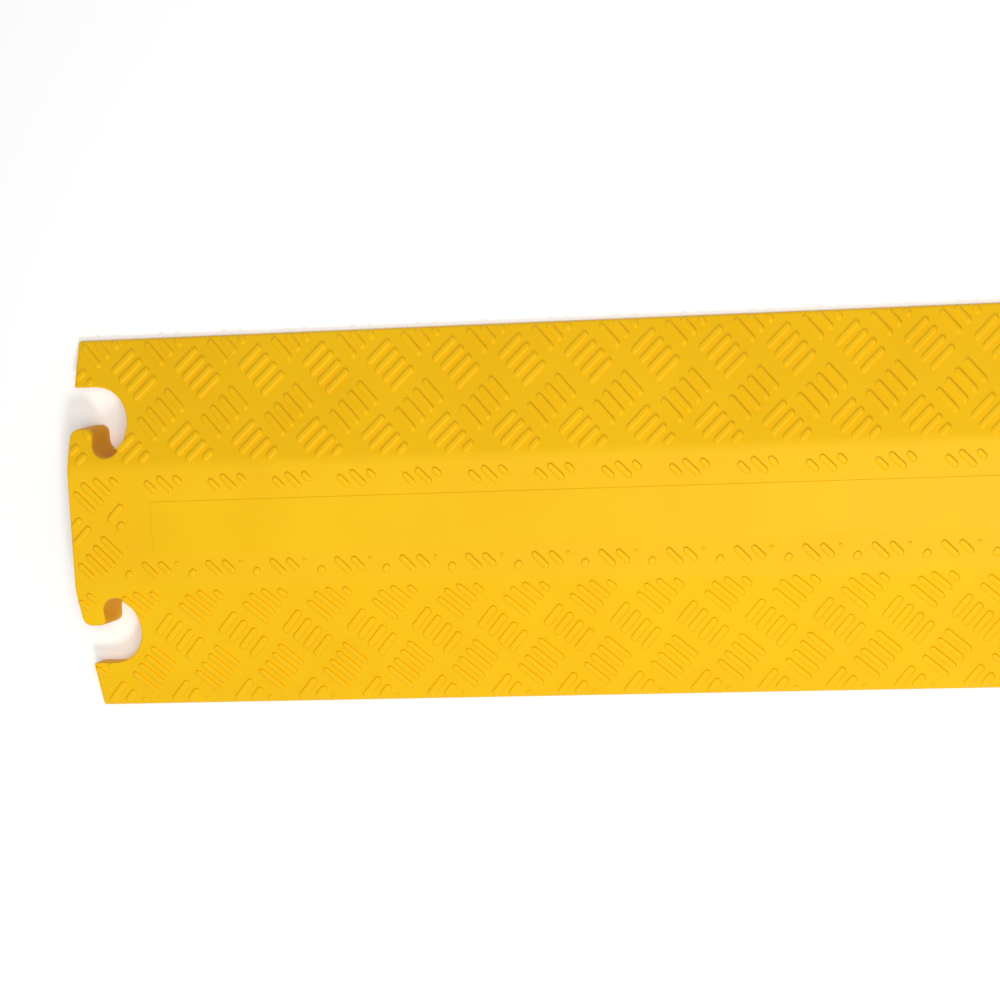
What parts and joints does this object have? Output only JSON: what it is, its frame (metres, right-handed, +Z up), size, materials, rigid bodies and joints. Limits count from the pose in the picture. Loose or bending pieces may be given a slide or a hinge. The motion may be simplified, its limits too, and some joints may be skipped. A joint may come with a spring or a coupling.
{
  "type": "cable protector ramp",
  "caption": "Low drop-over ramp with sloped tread sides, a flat deck over two cable channels, lock sockets at one end and hooks at the other.",
  "frame": {"origin": "centre of the bounding box's base, on the ground", "axes": "+X along the ramp towards the hooked end, +Y across it to the far side, +Z up"},
  "size_m": [0.9, 0.3, 0.05],
  "materials": {
    "yellow_moulding": "satin moulded polyurethane rubber",
    "name_panel": "smoother satin moulded polyurethane rubber"
  },
  "bodies": {
    "root": {"deck_slab": "yellow_moulding", "name_panel": "name_panel", "centre_rib": "yellow_moulding", "far_slope": "yellow_moulding", "far_socket_bowl": "yellow_moulding", "far_socket_lug": "yellow_moulding", "far_socket_lip": "yellow_moulding", "far_hook_neck": "yellow_moulding", "far_hook_head": "yellow_moulding", "near_slope": "yellow_moulding", "near_socket_bowl": "yellow_moulding", "near_socket_lug": "yellow_moulding", "near_socket_lip": "yellow_moulding", "near_hook_neck": "yellow_moulding", "near_hook_head": "yellow_moulding"}
  },
  "joints": []
}
